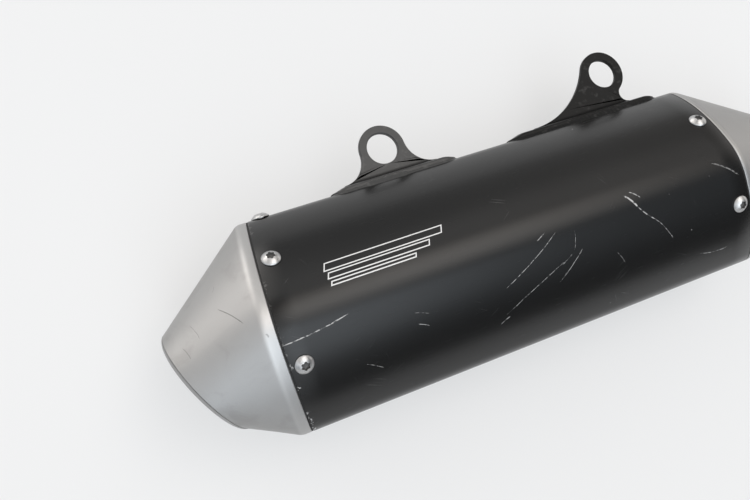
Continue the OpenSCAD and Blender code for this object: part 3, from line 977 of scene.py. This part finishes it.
def around_pad(ends, step):
    """(centre X, direction) pairs that go evenly round a pad with round ends."""
    first, last = ends[0] + PAD_HALF_Z, ends[1] - PAD_HALF_Z
    straight = max(1, round((last - first) / step))
    turn = max(8, round(math.pi * PAD_HALF_Z / step))
    made = [(last, -math.pi / 2 + math.pi * i / turn) for i in range(turn)]
    made += [(last + (first - last) * i / straight, math.pi / 2) for i in range(straight)]
    made += [(first, math.pi / 2 + math.pi * i / turn) for i in range(turn)]
    made += [(first + (last - first) * i / straight, -math.pi / 2) for i in range(straight)]
    return made


def smooth(t):
    t = min(1.0, max(0.0, t))
    return t * t * (3 - 2 * t)


def pad_rim(ends, way, inset, rise):
    """A rim round the pad, inside its edge. The pad thins out towards both of its round ends."""
    rim = []
    for centre, a in way:
        reach = PAD_HALF_Z - inset
        x = centre + reach * math.cos(a)
        near_end = min(x - ends[0], ends[1] - x)
        height = rise * (0.35 + 0.65 * smooth(near_end / (10 * MM)))
        rim.append(on_side(x, reach * math.sin(a), height))
    return rim


def pad(hanger):
    edge = 0.9 * MM
    steps = 6
    spine = PAD_HALF_Z - 0.1 * MM
    rows = [(spine, PAD_T), (6 * MM, PAD_T), (4 * MM, PAD_T), (2.4 * MM, PAD_T)]
    for i in range(steps + 1):
        t = i / steps * math.pi / 2
        rows.append((edge * (1 - math.sin(t)), PAD_T - edge * (1 - math.cos(t))))
    rows += [(0.0, 0.0), (4 * MM, 0.0), (spine, 0.0)]
    way = around_pad(hanger.pad_ends, 1.6 * MM)
    mesh_data = bmesh.new()
    rims = lay_rims(mesh_data, [pad_rim(hanger.pad_ends, way, *row) for row in rows], False)
    mesh_data.faces.new(rims[0])
    mesh_data.faces.new(rims[-1])
    piece = finish_mesh(hanger.name + "_hanger_saddle", mesh_data,
                        HANGER_FINISH[hanger.name],
                        replaces=[hanger.name + "_hanger_pad"], slot="anodised_hanger")
    return sharpen(piece, 60)


def bead_size(x, arc, stitch):
    """How full the bead is: slight ripples all round, and fuller along a stitched stretch."""
    ripple = 0.06 * math.sin(arc / (0.45 * MM)) + 0.05 * math.sin(arc / (1.7 * MM) + 1)
    if stitch is None:
        return 0.62 + ripple
    inside = min(x - stitch[0], stitch[1] - x)
    return 0.62 + ripple + 0.5 * smooth(inside / (3 * MM) + 0.5)


def pad_bead(mesh_data, hanger):
    """The thin bead that runs round the pad."""
    bury, wide, tall = 0.4 * MM, 1.5 * MM, 1.7 * MM
    step = 0.7 * MM
    way = around_pad(hanger.pad_ends, step)
    profile = [(bury, 0.0), (bury, 1.0), (0.0, 1.0)]
    profile += [(-0.35 * wide, 0.62), (-0.7 * wide, 0.28), (-wide, -0.03)]
    rims = []
    for out, high in profile:
        rim = []
        for k, (centre, a) in enumerate(way):
            size = bead_size(centre, k * step, hanger.stitch if a > 0 else None)
            reach = PAD_HALF_Z - (out if out > 0 else out * size)
            x = centre + reach * math.cos(a)
            near_end = min(x - hanger.pad_ends[0], hanger.pad_ends[1] - x)
            thin = 0.4 + 0.6 * smooth(near_end / (10 * MM))
            rim.append(on_side(x, reach * math.sin(a), high * tall * size * thin))
        rims.append(rim)
    lay_rims(mesh_data, rims, True)


def foot_bead(mesh_data, hanger, side):
    """The fillet along one face of the tab's foot."""
    base_y = HALF_W + PAD_T
    step = 0.7 * MM
    count = round((hanger.foot[1] - hanger.foot[0]) / step)
    rims = []
    for k in range(count + 1):
        x = hanger.foot[0] + k * step
        near_end = min(k, count - k) * step
        wide = 0.8 * MM * (0.9 + 0.1 * math.sin(k * 0.9)) * (0.2 + 0.8 * smooth(near_end / (6 * MM)))
        face = side * TAB_T / 2
        corners = ((-0.5 * MM, -0.5 * MM), (wide, -0.5 * MM), (wide, 0), (0.42 * wide, 0.22 * wide),
                   (0.22 * wide, 0.42 * wide), (0, wide), (-0.5 * MM, wide))
        rims.append([Vector((x, base_y + up, face + side * out)) for up, out in corners])
    rows = lay_rims(mesh_data, rims, False)
    mesh_data.faces.new(rows[0])
    mesh_data.faces.new(rows[-1])


def beads(hanger):
    mesh_data = bmesh.new()
    pad_bead(mesh_data, hanger)
    for side in (-1, 1):
        foot_bead(mesh_data, hanger, side)
    piece = finish_mesh(hanger.name + "_hanger_beads", mesh_data,
                        HANGER_FINISH[hanger.name],
                        replaces=[hanger.name + "_hanger_welds"], slot="anodised_hanger")
    return sharpen(piece, 60)


def wire(mesh_data, points, r, closed=False, sides=6):
    """A round wire through points, with its section turned to face each step of its run."""
    rims = []
    count = len(points)
    for i, p in enumerate(points):
        ahead = points[(i + 1) % count] if closed or i + 1 < count else p
        behind = points[i - 1] if closed or i > 0 else p
        run = (ahead - behind).normalized()
        side = run.orthogonal().normalized()
        if rims:
            side = (last_side - run * last_side.dot(run)).normalized()
        last_side = side
        up = run.cross(side)
        rims.append([p + r * (math.cos(a) * side + math.sin(a) * up)
                     for a in [2 * math.pi * k / sides for k in range(sides)]])
    rows = lay_rims(mesh_data, rims, closed)
    if not closed:
        mesh_data.faces.new(rows[0])
        mesh_data.faces.new(rows[-1])


def spark_screen():
    """The screen: a basket of crossed wires with a rolled hem at its mouth and a ring at its end."""
    wall_r, length, mouth = 19.4 * MM, 40 * MM, -SCREEN_DEPTH
    wires, hoops, wire_r, weave = 36, 13, 0.35 * MM, 0.3 * MM
    end_r, ring_sides = 6.67 * MM, 72
    top, run = mouth - 0.6 * MM, length - 1.6 * MM
    mesh_data = bmesh.new()
    for i in range(wires):
        turn = 2 * math.pi * i / wires
        points = []
        for k in range(2 * hoops + 1):
            r = wall_r + weave * math.sin(math.pi * k / 2 + math.pi * i)
            points.append(in_outlet(r, turn, top - run * k / (2 * hoops)))
        for k in range(1, 5):
            r = wall_r + k / 4 * (end_r - wall_r)
            points.append(in_outlet(r, turn, mouth - length + 0.6 * MM))
        wire(mesh_data, points, wire_r)
    for k in range(hoops):
        points = []
        for i in range(2 * wires):
            r = wall_r - weave * math.cos(math.pi * i / 2 + math.pi * k)
            points.append(in_outlet(r, math.pi * i / wires, top - run * (2 * k + 1) / (2 * hoops)))
        wire(mesh_data, points, wire_r, closed=True)
    bottom = mouth - length + 0.7 * MM
    for r, h in ((end_r, bottom), (12 * MM, bottom), (wall_r, mouth - 0.5 * MM)):
        ring = [in_outlet(r, 2 * math.pi * i / ring_sides, h) for i in range(ring_sides)]
        wire(mesh_data, ring, 0.5 * MM, closed=True, sides=8)
    piece = finish_mesh("spark_screen_basket", mesh_data, INNER_STEEL, replaces=["spark_screen"],
                        slot="inner_steel")
    return sharpen(piece, 60)


def snap_ring():
    """The wire ring that holds the screen, with its two ends bent in to grip."""
    wire_r, slack = 0.9 * MM, 0.1 * MM
    ring_r = OUTLET_R - TUBE_WALL + SNAP_GROOVE - wire_r - slack
    level = -SCREEN_DEPTH + FLANGE_T + wire_r
    gap, steps = math.radians(12), 90
    hook_len, hook_steps = 5 * MM, 6
    points = []
    for i in range(steps + 1):
        turn = gap + (2 * math.pi - 2 * gap) * i / steps
        points.append(in_outlet(ring_r, turn, level))
    for turn in (gap, -gap):
        hook = []
        for k in range(1, hook_steps + 1):
            bend = k / hook_steps
            lean = turn - math.copysign(0.06 * bend, turn)
            hook.append(in_outlet(ring_r - hook_len * math.sin(bend * math.pi / 2), lean, level))
        points = hook[::-1] + points if turn > 0 else points + hook
    mesh_data = bmesh.new()
    wire(mesh_data, points, wire_r, sides=10)
    piece = finish_mesh("screen_snap_wire", mesh_data, SCREW_STEEL, replaces=["screen_snap_ring"],
                        slot="screw_steel")
    return sharpen(piece, 60)


def inlet_weld():
    """The bead between the cone and the inlet pipe, laid as overlapping ripples."""
    bead_r, ripples, steps = 2.0 * MM, 54, 432
    bury, arc_steps = 0.3 * MM, 8
    centre = SLEEVE_FRONT + CONE_LEN - bury
    rims = []
    for i in range(steps):
        turn = 2 * math.pi * i / steps
        phase = (i * ripples / steps) % 1.0
        full = 0.80 + 0.18 * math.sin(math.pi * phase) + 0.02 * math.sin(5 * turn)
        lean = 0.35 * MM * (phase - 0.5)
        out = Vector((0, math.sin(turn), math.cos(turn)))
        rim = [Vector((centre, 0, 0)) + out * (INLET_R - bury)]
        for k in range(arc_steps + 1):
            a = k / arc_steps * math.pi / 2
            reach = INLET_R - bury + (bead_r + 1.1 * MM) * full * math.cos(a)
            ahead = (bead_r - 0.1 * MM) * full * math.sin(a) + lean * math.sin(2 * a)
            rim.append(Vector((centre + ahead, 0, 0)) + out * reach)
        rims.append(rim)
    mesh_data = bmesh.new()
    lay_rims(mesh_data, rims, True)
    piece = finish_mesh("inlet_weld_bead", mesh_data, WELD_STEEL, replaces=["inlet_pipe_weld"],
                        slot="weld_steel")
    return sharpen(piece, 60)


sleeve()
rear_cap()
front_cap()
outlet_lip()
spark_screen()
snap_ring()
inlet_weld()
screws("rear_cap_button_screws", "rear_cap_screws", REAR_SCREWS, rear=True)
screws("front_cap_button_screws", "front_cap_screws", FRONT_SCREWS, rear=False)
for hanger in HANGERS:
    tab(hanger)
    pad(hanger)
    beads(hanger)

# ---- CAD nodes that stay, with a finish each ----

NODE_FINISH = {
    "rear_cap_skirt": INNER_STEEL, "front_cap_skirt": INNER_STEEL,
    "rear_cap_gasket": GASKET, "front_cap_gasket": GASKET,
    "rear_cap_nuts": INNER_STEEL, "front_cap_nuts": INNER_STEEL,
    "rear_packing_plate": INNER_STEEL, "front_packing_plate": INNER_STEEL,
    "outlet_tube": INNER_STEEL, "screen_flange": INNER_STEEL, "inlet_pipe": PIPE_STEEL,
    "core_tube": INNER_STEEL, "steel_wool": WOOL, "glass_packing": PACKING,
}
for node, finish in NODE_FINISH.items():
    mesh = frame["nodes"][node].data
    mesh.materials.clear()
    mesh.materials.append(finish)

# ---- floor, light and camera ----


def floor():
    """A pale floor that glows a little, like a light table, so that shadows on it stay faint."""
    mesh_data = bmesh.new()
    bmesh.ops.create_grid(mesh_data, x_segments=1, y_segments=1, size=4.0)
    mesh = bpy.data.meshes.new("floor")
    mesh_data.to_mesh(mesh)
    mesh_data.free()
    piece = bpy.data.objects.new("floor", mesh)
    piece.location.z = FLOOR_Z
    bpy.context.scene.collection.objects.link(piece)
    paint = Paint("pale_floor")
    paint.set(Base_Color=grey(0.27, -0.004), Roughness=0.9)
    paint.set(Emission_Color=grey(1.0, -0.004), Emission_Strength=0.50)
    mesh.materials.append(paint.material)


def towards(azimuth, elevation):
    a, e = math.radians(azimuth), math.radians(elevation)
    return (math.cos(e) * math.cos(a), math.cos(e) * math.sin(a), math.sin(e))


# the soft panels of the studio: azimuth, elevation, the angles from its middle where a panel is
# full and where it has faded out, its level, and its warmth
PANELS = [
    # the warm light overhead, a small bright middle in a broad patch
    (25, 72, 4, 16, 1.00, 0.03),
    (25, 72, 8, 30, 1.65, 0.06),
    # the cool light on the side away from the hangers, high and low
    (-85, 52, 5, 28, 1.60, -0.07),
    (-102, 25, 5, 28, 0.85, -0.05),
    # the ceiling round them
    (180, 58, 8, 46, 0.45, 0.05),
    (240, 58, 8, 46, 0.40, -0.05),
    (300, 58, 8, 46, 0.35, -0.10),
    (50, 45, 5, 28, 0.60, 0.03),
    (92, 38, 5, 28, 0.35, 0.00),
    # the walls
    (40, 18, 8, 42, 0.15, 0.10),
    (80, 18, 8, 42, 0.25, -0.04),
    (120, 18, 8, 42, 1.00, 0.06),
    (160, 18, 8, 42, 0.30, -0.06),
    (200, 18, 8, 42, 0.40, -0.10),
    # two low reflectors, for the flanks of the caps
    (112, -3, 8, 30, 1.90, 0.03),
    (10, 4, 8, 32, 0.90, 0.03),
]
ROOM_LEVEL = 0.04
STUDIO_LEVEL = 1.32


def world():
    """A dim room with broad soft panels, each a smooth patch of bright wall or ceiling."""
    made = bpy.data.worlds.new("studio")
    made.use_nodes = True
    nodes = Nodes(made.node_tree)
    direction = nodes.node("ShaderNodeTexCoord").outputs["Generated"]
    total = (ROOM_LEVEL, ROOM_LEVEL, ROOM_LEVEL)
    for azimuth, elevation, inner, outer, level, warm in PANELS:
        nearness = nodes.dot(direction, towards(azimuth, elevation))
        patch = nodes.ease(nearness, math.cos(math.radians(outer)), math.cos(math.radians(inner)))
        total = nodes.scaled_vector(patch, grey(level, warm)[:3], total)
    background = nodes.tree.nodes["Background"]
    nodes.feed(background.inputs["Strength"], STUDIO_LEVEL)
    nodes.feed(background.inputs["Color"], total)
    bpy.context.scene.world = made


def camera():
    """A camera at the photo's angle, aimed beside the rear hanger."""
    target = REAR_HOLE + Vector((-26.54, -56.2, 0)) * MM
    distance = 491.64 * MM
    elevation = math.radians(70.362)
    bearing = math.radians(-157.12)
    roll = math.radians(47.465)
    across = math.cos(elevation)
    away = Vector((across * math.cos(bearing), across * math.sin(bearing), math.sin(elevation)))
    level = (-away).cross(Vector((0, 0, 1))).normalized()
    upright = level.cross(-away)
    right = math.cos(roll) * level + math.sin(roll) * upright
    up = right.cross(-away)
    data = bpy.data.cameras.new("camera")
    data.lens = 40.97
    data.sensor_width = 36
    data.clip_start = 0.01
    made = bpy.data.objects.new("camera", data)
    made.matrix_world = axes_matrix(right, up, away, target + distance * away)
    bpy.context.scene.collection.objects.link(made)
    bpy.context.scene.camera = made


floor()
world()
camera()
bpy.context.scene.view_settings.view_transform = "Standard"
